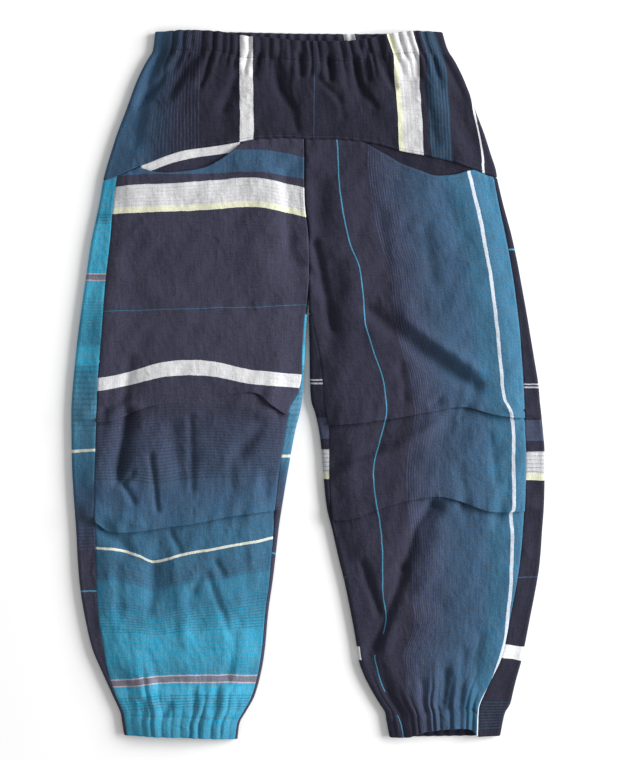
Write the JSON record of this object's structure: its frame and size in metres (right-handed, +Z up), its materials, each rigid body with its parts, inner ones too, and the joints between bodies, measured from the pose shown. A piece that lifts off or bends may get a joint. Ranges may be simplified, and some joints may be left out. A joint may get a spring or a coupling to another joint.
{
  "type": "parachute pants",
  "caption": "Balloon-legged trousers with a gathered elastic waist and ankles, curved yoke, slash pockets and knee tucks, laid flat.",
  "frame": {"origin": "on the surface that the garment lies on, below the middle of its bounding box", "axes": "+Y towards the waist, +X towards the wearer's left leg, +Z up, out of the front"},
  "size_m": [0.6154, 0.919, 0.0231],
  "materials": {
    "yoke_cloth": "matte navy and teal striped cotton",
    "back_yoke_cloth": "matte navy striped cotton",
    "right_front_cloth": "matte cotton, stripes across the leg",
    "left_front_cloth": "matte cotton, stripes down the leg",
    "right_back_cloth": "matte cotton, stripes across the leg",
    "left_back_cloth": "matte cotton, stripes across the leg",
    "pocket_cloth": "matte navy cotton"
  },
  "bodies": {
    "root": {"front_yoke": "yoke_cloth", "back_yoke": "back_yoke_cloth", "front_leg_right": "right_front_cloth", "front_leg_left": "left_front_cloth", "back_leg_right": "right_back_cloth", "back_leg_left": "left_back_cloth", "pocket_bag_right": "pocket_cloth", "pocket_bag_left": "pocket_cloth"}
  },
  "joints": []
}
